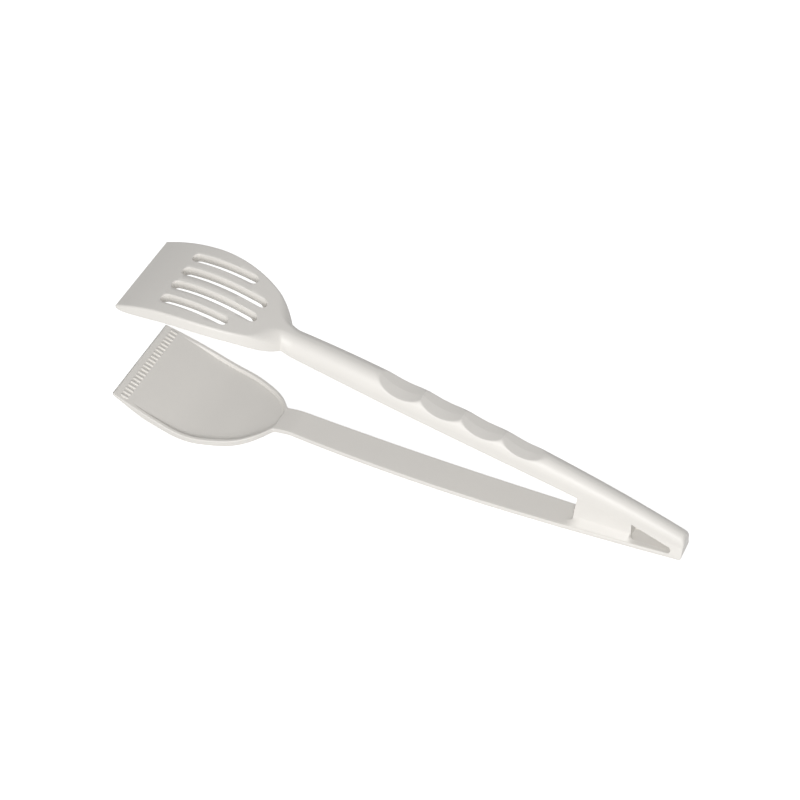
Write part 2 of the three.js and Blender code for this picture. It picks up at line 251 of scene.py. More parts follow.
grip = {
    "fullAt": 150.0, "undersideAtTail": 7.4, "slope": math.radians(13.74),
    "height": (5.9, 12.2, 9.8), "heightPower": 3.4, "halfWidth": (4.4, 7.35, 7.0), "widthPower": 1.3,
    "dome": (0.95, 1.1),  # its rise as a share of the half width, at the tail and where the grip is fullest
    "domeShare": 0.95,  # how much of the half width its round takes
    "dropMost": 0.85,  # and of the height
    "footRound": 0.6, "footMost": 0.3,
}
scallops = {
    "count": 4, "first": 146.5, "pitch": 20.95, "radius": 22.0, "depth": 4.0, "depthStep": 0.25,
    "fall": math.radians(3.0), "blend": 0.6,
}


def gripUnderside(t):
    # a straight slope
    return grip["undersideAtTail"] + t * math.tan(grip["slope"])


def gripHeight(t):
    # bowed, full under the first scallop
    return bowed(t, grip["fullAt"], grip["height"], tongs["neck"], grip["heightPower"])


def gripHalfWidth(t):
    # bowed as the height is, with a power of its own
    return bowed(t, grip["fullAt"], grip["halfWidth"], tongs["neck"], grip["widthPower"])


def gripDome(t):
    # about as high as the grip is half wide
    rise = grip["dome"][0] + (grip["dome"][1] - grip["dome"][0]) * shareBetween(t, 0.0, grip["fullAt"])
    return gripHalfWidth(t) * rise


def scallopFloor(t, y, z):
    # a round floor square to the grip's slope that falls to both sides from a crease in the middle
    radius, fall = scallops["radius"], scallops["fall"]
    unreached, widest, rounds = 1e3, radius * 0.75, 8
    lowest = np.full(t.shape, unreached)
    sine, cosine = math.sin(grip["slope"]), math.cos(grip["slope"])
    for i in range(scallops["count"]):
        at = scallops["first"] - i * scallops["pitch"]
        depth = scallops["depth"] - i * scallops["depthStep"]
        base = float(gripUnderside(at) + gripHeight(np.array(at))) - depth
        ahead = t - at
        height = z - base
        for _ in range(rounds):  # the height is found by trying again with the last one
            along = np.clip(ahead * cosine + height * sine, -radius, radius)
            bowl = radius - np.sqrt(radius ** 2 - along ** 2)
            off = (bowl - np.abs(y) * math.sin(fall)) / math.cos(fall)
            height = (off + ahead * sine) / cosine
        lowest = np.minimum(lowest, np.where(np.abs(ahead) > widest, unreached, base + height))
    return lowest


# Strip, with rises and half widths at the tail, at its middle and at the neck

strip = {
    "lowAt": 88.0, "wideAt": 140.0, "thickness": 2.5, "rise": (1.0, 0.0, 5.4),
    "halfWidth": (6.1, 8.9, 8.3),
    "edge": 0.5, "edgeMost": 0.35,  # the edge's round, and the most that it takes of the thickness
}


def stripUnderside(t):
    # bowed down to the table
    return bowed(t, strip["lowAt"], strip["rise"], tongs["neck"])


def stripTop(t):
    # the underside and the thickness
    return stripUnderside(t) + strip["thickness"]


def stripHalfWidth(t):
    # bowed outwards
    return bowed(t, strip["wideAt"], strip["halfWidth"], tongs["neck"])


# Blade and the lines of the whole upper moulding

blade = {
    "front": 285.0, "wide": 257.0, "peak": 81.2, "frontHeight": 76.3, "neckSlope": math.radians(24.0),
    "halfWidth": 27.3, "frontTaper": 0.7, "shoulder": 50.5, "power": 3.0, "neckHalf": 7.0,
    "edgeDepth": 6.5, "edgeRear": 228.0, "tip": 0.8, "nose": 22.5, "frontRound": 0.35,
    "plate": 5.0, "rim": 2.4, "rimEase": (0.4, 0.5), "hollow": (224.0, 272.0), "hollowEase": 0.5,
    "edge": 1.2, "domeFade": (-2.0, 16.0), "crestReach": 3.0,
}


def shoulderHalf(t, head):
    # an ellipse's quarter behind the widest place, less a parabola's taper ahead of it
    behind = shareBetween(t, head["wide"], head["wide"] - head["shoulder"])
    ahead = shareBetween(t, head["wide"], head["front"])
    return head["halfWidth"] * domeOf(behind) - head["frontTaper"] * ahead * ahead


def headHalfWidth(t, head):
    # the shoulder joined to the neck: the root of the sum of both, raised to a power
    behind = shareBetween(t, head["wide"], head["wide"] - head["shoulder"])
    power = head["power"]
    return (shoulderHalf(t, head) ** power + head["neckHalf"] ** power * behind) ** (1 / power)


def bladeCrest(t):
    # a cubic up from the neck to the peak, and a parabola down to the front
    atNeck = gripUnderside(tongs["neck"]) + grip["height"][2]
    neck = (tongs["neck"], atNeck, math.tan(blade["neckSlope"]))
    rear = smoothLine(t, neck, (blade["wide"], blade["peak"], 0.0))
    ahead = shareBetween(t, blade["wide"], blade["front"])
    front = blade["peak"] - (blade["peak"] - blade["frontHeight"]) * ahead ** 2
    return np.where(t < blade["wide"], rear, front)


def upperCrest(t):
    # the grip's top behind the neck, the blade's ahead of it
    return np.where(t < tongs["neck"], gripUnderside(t) + gripHeight(t), bladeCrest(t))


def upperHalfWidth(t):
    # the grip's half width behind the neck, the blade's ahead of it
    return np.where(t < tongs["neck"], gripHalfWidth(t), headHalfWidth(t, blade))


def upperDepth(t):
    # the grip's height, then the blade's edge, which thins to its tip as an ellipse's quarter
    neck = (tongs["neck"], grip["height"][2], 0.0)
    level = smoothLine(t, neck, (blade["edgeRear"], blade["edgeDepth"], 0.0))
    nose = shareBetween(t, blade["front"] - blade["nose"], blade["front"])
    return np.where(t < tongs["neck"], gripHeight(t), blade["tip"] + (level - blade["tip"]) * domeOf(nose))


def bladeHollow(t, inside):
    # what the edge is deeper than the plate, eased in from the rim and at both ends
    depth = np.maximum(0.0, upperDepth(t) - blade["plate"])
    (rear, front), ease = blade["hollow"], blade["hollowEase"]
    ends = eased(shareBetween(t, rear - ease, rear + ease))
    ends = ends * (1 - eased(shareBetween(t, front - ease, front + ease)))
    inner, outer = blade["rim"] + blade["rimEase"][1], blade["rim"] - blade["rimEase"][0]
    return depth * ends * eased(shareBetween(inside, outer, inner))


# Tail and web: what is cut out of the closed end

tail = {
    "holeEnd": 6.0, "holeRadius": 1.8, "holeFillet": 0.8, "topRound": 2.0, "footRound": 1.4,
    "endRound": 0.7, "lean": 0.3, "leanReach": 5.0,
}
web = {
    "front": 54.0, "rear": 26.5, "half": 3.4, "lean": 1.6, "footFillet": 2.6,
    "edge": 0.35, "lip": 0.8,  # rounds where the recess meets the side, above and at its floor
    "corner": 0.5,  # round where its walls meet the web's face
    "flare": 3.3,  # how high the floor rises at the web's face
    "flareRear": (1.2, 0.6), "flareFront": (2.0, 0.5),  # reaches behind and ahead in which it starts and ends
    "overlap": 0.35,  # how far the hole's and the mouth's cutters reach into the recesses
}


def outlineNormals(outline):
    # square to the line through both neighbours, turned away from the outline's inside
    before, after = np.roll(outline, 1, axis=0), np.roll(outline, -1, axis=0)
    along = after - before
    along /= np.linalg.norm(along, axis=1)[:, None]
    area = np.sum(outline[:, 0] * after[:, 1] - after[:, 0] * outline[:, 1])
    out = pointsOf(along[:, 1], -along[:, 0])
    return out if area > 0 else -out


def sideWallAt(t, z):
    # the side's distance from the middle: the grip's above, the strip's below, and straight in between
    share = shareBetween(z, stripUnderside(t) + strip["thickness"], gripUnderside(t))
    return stripHalfWidth(t) + (gripHalfWidth(t) - stripHalfWidth(t)) * share


def openingTop(t):
    # the grip's underside, and behind the web a straight line down to the hole's round rear end
    radius = tail["holeRadius"]
    rearAt = tail["holeEnd"] + radius
    rearTop = stripTop(np.array(rearAt)) + 2 * radius
    share = (t - rearAt) / (web["rear"] - rearAt)
    behind = rearTop + (gripUnderside(web["rear"]) - rearTop) * share
    return np.where(t < web["rear"], behind, gripUnderside(t))


def openingOutline(front):
    # the hole's round rear end, its top forwards, the given front edge and the strip's top back
    radius, spacing, gap = tail["holeRadius"], 1.2, 0.4
    rearAt = tail["holeEnd"] + radius
    turn = np.linspace(-math.pi / 2, -3 * math.pi / 2, 25)
    height = float(stripTop(np.array(rearAt))) + radius
    roundEnd = pointsOf(rearAt + radius * np.cos(turn), height + radius * np.sin(turn))
    out = np.arange(rearAt + spacing, front[0][0] - gap, spacing)
    back = np.arange(rearAt + spacing, front[-1][0] - gap, spacing)[::-1]
    return np.concatenate([roundEnd, pointsOf(out, openingTop(out)), front, pointsOf(back, stripTop(back))])


def throughCutter(name, outline):
    # an outline carried across from one recess to the other
    half = web["half"] + web["overlap"]
    return cutterBody(name, [np.insert(outline, 1, y, axis=1) for y in (-half, 0.0, half)])


def holeCutter():
    # the hole, with small rounds where it meets the web's rear
    rear, fillet = web["rear"], tail["holeFillet"]
    corner = quarterTurn(5)
    upper = pointsOf(rear - fillet + fillet * np.sin(corner),
                     gripUnderside(rear) - fillet + fillet * np.cos(corner))
    lower = pointsOf(rear - fillet + fillet * np.cos(corner),
                     stripTop(np.array(rear)) + fillet - fillet * np.sin(corner))
    return throughCutter("holeCutter", openingOutline(np.concatenate([upper, lower])))


def mouthCutter():
    # ahead of the web, with a parabola's fillet at its foot and a small one at its head
    foot, fillet = web["front"] + web["lean"], web["footFillet"]
    footTop = float(stripTop(np.array(foot)))
    bend = np.linspace(0, 1, 9)[:, None]
    start, middle = np.array([[foot, footTop + fillet]]), np.array([[foot, footTop]])
    finish = np.array([[foot + fillet, float(stripTop(np.array(foot + fillet)))]])
    curve = (1 - bend) ** 2 * start + 2 * bend * (1 - bend) * middle + bend ** 2 * finish
    up, end = gripUnderside(web["front"]), tongs["joint"] + tongs["pastJoint"]
    head = [[web["front"] + ahead, up - down] for ahead, down in ((0.1, 0.6), (0.35, 0.2), (0.9, 0.0))]
    front = [[end, gripUnderside(end)], [end, stripTop(np.array(end))]]
    return throughCutter("mouthCutter", np.concatenate([curve[::-1], head, front]))


def recessCutters():
    # a recess on each side, from the tail past the web: the opening's outline carried out from the web's face
    # to past the side, with a round at both, and a floor that flares up to the web's face
    end = tongs["joint"] + tongs["pastJoint"]
    down = np.linspace(0, 1, 8)[:, None]
    frontEdge = (1 - down) * [[end, gripUnderside(end)]] + down * [[end, float(stripTop(np.array(end)))]]
    side = openingOutline(frontEdge)
    normals = outlineNormals(side)
    t, z = side[:, 0], side[:, 1]
    wall = sideWallAt(t, z)
    isFloor = z < stripTop(t) + 0.01
    along = eased(shareBetween(t, web["rear"] - web["flareRear"][0], web["rear"] + web["flareRear"][1]))
    flareEnd = (web["front"] - web["flareFront"][0], tongs["joint"] + web["flareFront"][1])
    along = along * (1 - eased(shareBetween(t, *flareEnd)))
    flare = web["flare"] * along * isFloor
    edge = web["edge"] + (web["lip"] - web["edge"]) * isFloor
    past = {"grow": 0.3, "edgeShare": 0.8, "out": 1.5}  # the last ring, clear of the side
    result = []
    for sign in (-1, 1):
        rings = []
        for share in (0.0, 0.04, 0.1, 0.2, 0.35, 0.5, 0.65, 0.8, 0.92, 1.0):
            y = web["half"] + (wall - edge - web["half"]) * share
            inset = web["corner"] * (1 - math.sqrt(1 - (1 - min(share / 0.25, 1.0)) ** 2))
            shape = side - normals * inset
            rings.append(pointsOf(shape[:, 0], sign * y, shape[:, 1] + flare * (1 - share)))
        for angle in np.radians([18, 36, 54, 72]):
            shape = side + normals * (edge * (1 - math.cos(angle)))[:, None]
            rings.append(pointsOf(shape[:, 0], sign * (wall - edge + edge * math.sin(angle)), shape[:, 1]))
        shape = side + normals * (edge * past["edgeShare"] + past["grow"])[:, None]
        rings.append(pointsOf(shape[:, 0], sign * (wall + past["out"]), shape[:, 1]))
        result.append(cutterBody("recessCutter", rings))
    return result


# Slots through the blade

slots = {
    "width": 5.8, "pitch": 11.0, "front": 265.0, "lengths": (35.0, 45.0, 45.0, 35.0), "edge": 0.4,
    "spacing": 1.5, "below": 40.0, "above": 90.0,
}


def slotCutters(crestLine):
    # a long outline with round ends, widened by a quarter round at the blade's top and underside
    cutters = []
    radius, spacing, edge = slots["width"] / 2, slots["spacing"], slots["edge"]
    for i, length in enumerate(slots["lengths"]):
        across = (i - 1.5) * slots["pitch"]
        front, rear = slots["front"] - radius, slots["front"] - length + radius
        ahead = np.linspace(-math.pi / 2, math.pi / 2, 17)
        line = np.arange(front - spacing, rear, -spacing)
        outline = np.concatenate([
            pointsOf(front + radius * np.cos(ahead), radius * np.sin(ahead)),
            pointsOf(line, 0 * line + radius),
            pointsOf(rear - radius * np.cos(ahead), -radius * np.sin(ahead)),
            pointsOf(line[::-1], 0 * line - radius),
        ])
        normals = outlineNormals(outline)
        top = crestLine(outline[:, 0])
        insideRim = np.full(len(outline), 9.0)
        under = top - upperDepth(outline[:, 0]) + bladeHollow(outline[:, 0], insideRim)
        angles = np.radians([0, 22, 44, 66])
        grown, clear = edge + 0.5, 0.4
        levels = [(0 * under + slots["below"], grown), (under - clear, grown)]
        levels += [(under + edge * (1 - math.sin(a)), edge * (1 - math.cos(a))) for a in angles[::-1]]
        levels += [(top - edge * (1 - math.sin(a)), edge * (1 - math.cos(a))) for a in angles]
        levels += [(top + clear, grown), (0 * top + slots["above"], grown)]
        rings = []
        for height, grow in levels:
            shape = outline + normals * grow
            rings.append(pointsOf(shape[:, 0], shape[:, 1] + across, height))
        cutters.append(cutterBody("slotCutter", rings))
    return cutters


# Upper moulding: tail, grip, web and slotted blade in one body

upperRows = {
    "stretches": (
        (2.6, 9.5, 0.7), (9.5, 58.0, 1.25), (60.0, 74.0, 1.2), (74.0, 157.0, 0.45), (157.5, 200.0, 1.5),
        (200.0, 212.0, 0.4), (223.2, 225.2, 0.25), (258.0, 284.4, 1.1), (271.0, 273.2, 0.25),
    ),
    "joint": (tongs["joint"], 59.0), "tail": 10, "shoulder": 70, "front": 6,
    "corner": 34, "top": 11, "wall": (6, 7), "wallReach": 1.2, "foot": 6,
    "insets": (1.2, 1.8, 2.1, 2.3, 2.5, 2.7, 2.95, 3.3), "insetMost": 0.8,  # round the hollow's rim
}


def upperStations():
    # even rows, closer at the scallops and at the neck, with rounds at the tail, the shoulder and the front
    ends = tail["topRound"] * (1 - np.cos(quarterTurn(upperRows["tail"])))
    shoulders = blade["wide"] - blade["shoulder"] * np.sin(quarterTurn(upperRows["shoulder"]))
    front = blade["front"] - blade["frontRound"] * (1 - np.sin(quarterTurn(upperRows["front"])))
    return stationsOf(upperRows["stretches"], [upperRows["joint"], ends, shoulders, front])


def upperMoulding():
    # half sections from the crest round the corner, down the side and in along the underside
    t = upperStations()[:, None]
    crestLine = softened(upperCrest, blade["crestReach"])
    half, depth = upperHalfWidth(t), upperDepth(t)
    fade = eased(shareBetween(t, *(tongs["neck"] + reach for reach in blade["domeFade"])))
    run = grip["domeShare"] * half * (1 - fade) + blade["edge"] * fade
    run = np.minimum(run, half * grip["domeShare"])
    dome = gripDome(np.minimum(t, tongs["neck"]))
    drop = np.minimum(dome * (1 - fade) + blade["edge"] * fade, depth * grip["dropMost"])
    foot = np.minimum(grip["footRound"], depth * grip["footMost"])

    # top, from the middle to the corner and round it
    angles = quarterTurn(upperRows["corner"])[None, :]
    ct, cy = placedInset(t, upperHalfWidth, run * (1 - np.sin(angles)))
    cz = crestLine(ct) - drop * (1 - np.cos(angles))
    shares = np.linspace(1, 0, upperRows["top"])[None, :-1]
    it, iy = inwards(ct[:, :1], cy[:, :1], t, shares)
    topT, topY, topZ = np.hstack([it, ct]), np.hstack([iy, cy]), np.hstack([crestLine(it), cz])
    topZ = softLess(topZ, scallopFloor(topT, topY, topZ), scallops["blend"])

    # side, down to the grip's underside, or past it to the strip's underside at the tail
    closed = t <= tongs["joint"]
    wallTop = crestLine(t) - drop
    under = np.where(closed, gripUnderside(t), crestLine(t) - depth)
    bottom = np.where(closed, stripUnderside(t), under)
    footHalf = np.where(closed, stripHalfWidth(t), half)
    upper, lower = (np.linspace(0, 1, count)[None, 1:] for count in upperRows["wall"])
    middle = np.where(closed, under, wallTop + (under - wallTop) * 0.5)
    wz = np.hstack([wallTop + (middle - wallTop) * upper, middle + (bottom + foot - middle) * lower])
    spread = np.minimum(lower * upperRows["wallReach"], 1.0)
    wy = np.hstack([half + 0 * upper, half + (footHalf - half) * spread])
    wt = t + 0 * wz

    # underside: a small round at the foot, then the hollow under the blade
    rounds = quarterTurn(upperRows["foot"])[None, 1:]
    insets = np.array([upperRows["insets"]])
    footInset = np.hstack([foot * (1 - np.cos(rounds)), np.minimum(insets, half * upperRows["insetMost"])])
    stripT, stripY = placedInset(t, stripHalfWidth, footInset)
    gripT, gripY = placedInset(t, upperHalfWidth, footInset)
    ut, uy = np.where(closed, stripT, gripT), np.where(closed, stripY, gripY)
    shares = np.linspace(0, 1, upperRows["top"])[None, 1:]
    vt, vy = inwards(ut[:, -1:], uy[:, -1:], t, shares)
    ut, uy = np.hstack([ut, vt]), np.hstack([uy, vy])
    inside = np.hstack([footInset, footInset[:, -1:] + 0 * vt])
    lift = np.hstack([foot * (1 - np.sin(rounds)), 0 * insets + 0 * foot, 0 * vt])
    bladeUnder = crestLine(ut) - upperDepth(ut) + bladeHollow(ut, inside)
    uz = np.where(closed, stripUnderside(ut), bladeUnder) + lift

    allT, allY, allZ = np.hstack([topT, wt, ut]), np.hstack([topY, wy, uy]), np.hstack([topZ, wz, uz])

    # the front edge and the tail end, rounded all round; the tail also leans in at its foot
    frontLoss = frontLossOf(t, blade["front"], blade["frontRound"])
    allZ = np.where(allZ > crestLine(t) - depth / 2, allZ - frontLoss, allZ + frontLoss)
    allY = allY * (1 - frontLoss / half)
    upShare = shareBetween(allZ, stripUnderside(t), crestLine(t))
    allZ = allZ - tailLossOf(t, tail["topRound"]) * upShare + tailLossOf(t, tail["footRound"]) * (1 - upShare)
    allY = allY * (1 - tailLossOf(t, tail["endRound"]) / footHalf)
    allT = allT + tail["lean"] * (1 - upShare) * (1 - shareBetween(t, 0.0, tail["leanReach"])) ** 1.5

    piece = mouldedBody("upperMoulding", allT, allY, allZ)
    cutFrom(piece, [holeCutter(), mouthCutter()] + recessCutters() + slotCutters(crestLine))
    smoothed(piece, tongs["sharpAngle"])
    return piece


# Scoop and the lines of the whole lower moulding

scoop = {
    "front": 291.0, "wide": 262.0, "halfWidth": 29.9, "frontTaper": 1.6, "shoulder": 50.5,
    "power": 5.0, "neckHalf": 8.3, "flat": (232.0, 244.0), "ramp": 260.0, "rampAngle": math.radians(20.0),
    "depth": 4.1, "thinAt": 274.0, "tip": 1.2, "frontRound": 0.5, "belly": 0.8, "topReach": 1.5,
    "rimHeight": 1.6, "rimWidth": 2.0, "rimFade": (281.0, 262.0), "hollowRear": 213.0,
    "step": (-0.3, 0.6),  # the rim falls to the floor between these insets from its inner line
}


def lowerHalfWidth(t):
    # the strip's half width behind the neck, the scoop's ahead of it
    return np.where(t < tongs["neck"], stripHalfWidth(t), headHalfWidth(t, scoop))


def lowerTop(t):
    # level where the scoop lies flat, bent up into the ramp ahead and joined to the strip behind
    tilt = math.tan(scoop["rampAngle"])
    flatRear, flatFront = scoop["flat"]
    bend = shareBetween(t, flatFront, scoop["ramp"])
    rise = tilt * (scoop["ramp"] - flatFront) * bend * bend / 2 + tilt * np.maximum(0.0, t - scoop["ramp"])
    neck = (tongs["neck"], strip["rise"][2] + strip["thickness"], 0.0)
    rear = smoothLine(t, neck, (flatRear, scoop["depth"], 0.0))
    head = np.where(t >= flatRear, scoop["depth"] + rise, rear)
    return np.where(t < tongs["neck"], stripUnderside(t) + strip["thickness"], head)


def lowerThickness(t):
    # the strip's, joined by a cubic to the scoop's depth, which runs out straight to the tip
    neck = (tongs["neck"], strip["thickness"], 0.0)
    rear = smoothLine(t, neck, (scoop["flat"][0], scoop["depth"], 0.0))
    front = shareBetween(t, scoop["thinAt"], scoop["front"])
    return np.where(t < tongs["neck"], strip["thickness"], rear + (scoop["tip"] - scoop["depth"]) * front)


def bellyAt(t):
    # how far the side draws in towards its foot: most where the scoop lies flat, nothing at the neck and front
    behind = shareBetween(t, scoop["flat"][0], tongs["neck"])
    ahead = shareBetween(t, scoop["flat"][1], scoop["rimFade"][0])
    return scoop["belly"] * (1 - behind) * (1 - ahead)


def footHalfWidth(t):
    # the half width at the foot of the side
    return lowerHalfWidth(t) - bellyAt(t)


def hollowHalfWidth(t):
    # the scoop's shoulder less the rim
    return shoulderHalf(t, scoop) - scoop["rimWidth"]


def scoopHollow(t, y):
    # how deep the floor lies below the rim: eased in from the hollow's own outline and its rear
    slope = np.clip(slopeOf(hollowHalfWidth, t), -6.0, 6.0)
    inside = (hollowHalfWidth(t) - np.abs(y)) / np.sqrt(1 + slope * slope)
    inside = np.minimum(inside, t - scoop["hollowRear"])
    return scoop["rimHeight"] * shareBetween(t, *scoop["rimFade"]) * eased(shareBetween(inside, *scoop["step"]))


# Lower moulding: the bowed strip and the scoop in one body

lowerRows = {
    "stretches": ((tongs["joint"], 200.0, 1.5), (200.0, 216.0, 0.35), (262.6, 290.4, 0.8)),
    "shoulder": 90, "front": 7, "corner": 7, "top": 15, "wall": 5, "foot": 6, "under": 9,
    "insets": (4.6, 3.9, 3.4, 3.1, 2.8, 2.6, 2.4, 2.2, 2.0, 1.8, 1.6, 1.3, 0.8),  # across the rim
    "insetMost": 0.7, "footInsets": (1.2, 2.2),
}


def lowerStations():
    # even rows, closer at the neck, with rounds at the shoulder and the front
    shoulders = scoop["wide"] - scoop["shoulder"] * np.sin(quarterTurn(lowerRows["shoulder"]))
    front = scoop["front"] - scoop["frontRound"] * (1 - np.sin(quarterTurn(lowerRows["front"])))
    return stationsOf(lowerRows["stretches"], [shoulders, front])


def lowerMoulding():
    # half sections from the middle of the top over the rim, down the side and in along the underside
    t = lowerStations()[:, None]
    half, thickness = lowerHalfWidth(t), lowerThickness(t)
    topLine = softened(lowerTop, scoop["topReach"])
    edge = np.minimum(strip["edge"], thickness * strip["edgeMost"])

    # top, from the middle to the rim and round its corner
    angles = quarterTurn(lowerRows["corner"])[None, :]
    insets = np.array([lowerRows["insets"]])
    inset = np.hstack([np.minimum(insets, half * lowerRows["insetMost"]), edge * (1 - np.sin(angles))])
    ct, cy = placedInset(t, lowerHalfWidth, inset)
    fall = np.hstack([0 * insets + 0 * half, edge * (1 - np.cos(angles))])
    cz = topLine(ct) - scoopHollow(ct, cy) - fall
    shares = np.linspace(1, 0, lowerRows["top"])[None, :-1]
    it, iy = inwards(ct[:, :1], cy[:, :1], t, shares)
    iz = topLine(it) - scoopHollow(it, iy)

    # side
    under = topLine(t) - thickness
    sides = np.linspace(0, 1, lowerRows["wall"])[None, 1:]
    wallTop = topLine(t) - edge
    wz = wallTop + (under + edge - wallTop) * sides
    wy = half - bellyAt(t) * sides
    wt = t + 0 * wz

    # underside
    rounds = quarterTurn(lowerRows["foot"])[None, 1:]
    footInsets = [edge * 0 + reach for reach in lowerRows["footInsets"]]
    ut, uy = placedInset(t, footHalfWidth, np.hstack([edge * (1 - np.cos(rounds))] + footInsets))
    lift = np.hstack([edge * (1 - np.sin(rounds))] + [0 * edge for _ in footInsets])
    uz = topLine(ut) - lowerThickness(ut) + lift
    shares = np.linspace(0, 1, lowerRows["under"])[None, 1:]
    vt, vy = inwards(ut[:, -1:], uy[:, -1:], t, shares)
    vz = topLine(vt) - lowerThickness(vt)

    allT, allY = np.hstack([it, ct, wt, ut, vt]), np.hstack([iy, cy, wy, uy, vy])
    allZ = np.hstack([iz, cz, wz, uz, vz])
    loss = frontLossOf(t, scoop["front"], scoop["frontRound"])
    allZ = np.where(allZ > topLine(t) - thickness / 2, allZ - loss, allZ + loss)
    allY = allY * (1 - loss / half)
    piece = mouldedBody("lowerMoulding", np.minimum(allT, scoop["front"]), allY, np.maximum(allZ, 0.0))
    smoothed(piece, tongs["sharpAngle"])
    return piece


# Ridges across the scoop's ramp

ridges = {
    "count": 21, "inset": 2.1, "length": 4.4, "width": 1.3, "height": 0.62, "setback": 3.4, "sink": 0.25,
    "around": 24, "endPower": 0.55, "sidePower": 0.8, "sharpAngle": 50,
    # rings from the foot up: how much of the plan is left, and how much of the height is reached
    "rings": ((1.0, 0.28), (0.94, 0.57), (0.8, 0.77), (0.55, 0.91), (0.25, 0.98)),
}


def scoopRidges():
    # low bars with round ends and tops: an oval plan whose height falls off towards its rim
    vertices, faces = [], []
    around, halfLength, halfWidth = ridges["around"], ridges["length"] / 2, ridges["width"] / 2
    station = scoop["front"] - ridges["setback"] - halfLength
    outermost = scoop["halfWidth"] - scoop["frontTaper"] - ridges["inset"]
    turn = np.linspace(0, 2 * math.pi, around, endpoint=False)
    outX = np.sign(np.cos(turn)) * np.abs(np.cos(turn)) ** ridges["endPower"] * ridges["length"] / 2
    outY = np.sign(np.sin(turn)) * np.abs(np.sin(turn)) ** ridges["sidePower"] * ridges["width"] / 2
    base = float(lowerTop(np.array(station)))
    cosine, sine = math.cos(scoop["rampAngle"]), math.sin(scoop["rampAngle"])
    rings = [(1.0, -ridges["sink"])] + [(share, ridges["height"] * level) for share, level in ridges["rings"]]
    count = len(rings)
    for across in np.linspace(-outermost, outermost, ridges["count"]):
        rows = []
        for share, height in rings:
            trim = halfWidth * (1 - share)
            rows.append(pointsOf(outX * (1 - trim / halfLength), outY * share, np.full(around, height)))
        local = np.concatenate(rows + [[[0.0, 0.0, ridges["height"]]], [[0.0, 0.0, -ridges["sink"]]]])
        t = station + local[:, 0] * cosine - local[:, 2] * sine
        z = base + local[:, 0] * sine + local[:, 2] * cosine
        start = sum(len(block) for block in vertices)
        vertices.append(pointsOf(t, across + local[:, 1], z))
        faces += loftFaces(count, around, start)
        last, top = start + (count - 1) * around, start + count * around
        faces += [[last + j, top, last + (j + 1) % around] for j in range(around)]
        faces += [[start + j, start + (j + 1) % around, top + 1] for j in range(around)]
    piece = newPiece("scoopRidges", np.concatenate(vertices), faces)
    smoothed(piece, ridges["sharpAngle"])
    return piece


# Moulded plastic

plastic = {
    "colour": (0.80, 0.775, 0.735, 1.0), "mottle": 0.03, "roughness": 0.42, "glossSpread": 0.10,
    "specular": 0.45, "bump": 0.25, "bumpDepth": 0.00006,
    # scale, detail and roughness of each noise
    "slow": (38.0, 3.0, 0.55), "fine": (1500.0, 2.0, 0.6), "cloudy": (170.0, 4.0, 0.6),
}


def addMath(nodes, links, kind, a, b):
    # a math node whose inputs are numbers or sockets
    node = nodes.new("ShaderNodeMath")
    node.operation = kind
    for socket, value in zip(node.inputs, (a, b)):
        if isinstance(value, (int, float)):
            socket.default_value = value
        else:
            links.new(value, socket)
    return node.outputs[0]


def mouldedGroup():
    # a slow mottle of the colour, a fine spark-eroded grain for the bump and uneven gloss
    group = bpy.data.node_groups.new("mouldedSurface", "ShaderNodeTree")
    face = group.interface
    face.new_socket("Colour", in_out="INPUT", socket_type="NodeSocketColor")
    for name in ("Mottle", "Gloss Spread", "Roughness"):
        face.new_socket(name, in_out="INPUT", socket_type="NodeSocketFloat")
    face.new_socket("Colour", in_out="OUTPUT", socket_type="NodeSocketColor")
    for name in ("Roughness", "Height"):
        face.new_socket(name, in_out="OUTPUT", socket_type="NodeSocketFloat")
    nodes, links = group.nodes, group.links
    given, made = nodes.new("NodeGroupInput"), nodes.new("NodeGroupOutput")
    where = nodes.new("ShaderNodeTexCoord")

    def noise(name):
        node = nodes.new("ShaderNodeTexNoise")
        for socket, value in zip(("Scale", "Detail", "Roughness"), plastic[name]):
            node.inputs[socket].default_value = value
        links.new(where.outputs["Object"], node.inputs["Vector"])
        return node.outputs["Fac"]

    def mathNode(kind, a, b):
        return addMath(nodes, links, kind, a, b)

    slow, fine, cloudy = noise("slow"), noise("fine"), noise("cloudy")
    swing = mathNode("MULTIPLY", mathNode("SUBTRACT", slow, 0.5), given.outputs["Mottle"])
    shaded = nodes.new("ShaderNodeVectorMath")
    shaded.operation = "SCALE"
    links.new(given.outputs["Colour"], shaded.inputs[0])
    links.new(mathNode("ADD", swing, 1.0), shaded.inputs["Scale"])
    links.new(shaded.outputs[0], made.inputs["Colour"])
    spread = mathNode("MULTIPLY", mathNode("SUBTRACT", cloudy, 0.5), given.outputs["Gloss Spread"])
    links.new(mathNode("ADD", given.outputs["Roughness"], spread), made.inputs["Roughness"])
    height = mathNode("ADD", mathNode("MULTIPLY", fine, 0.5), mathNode("MULTIPLY", cloudy, 0.5))
    links.new(height, made.inputs["Height"])
    return group


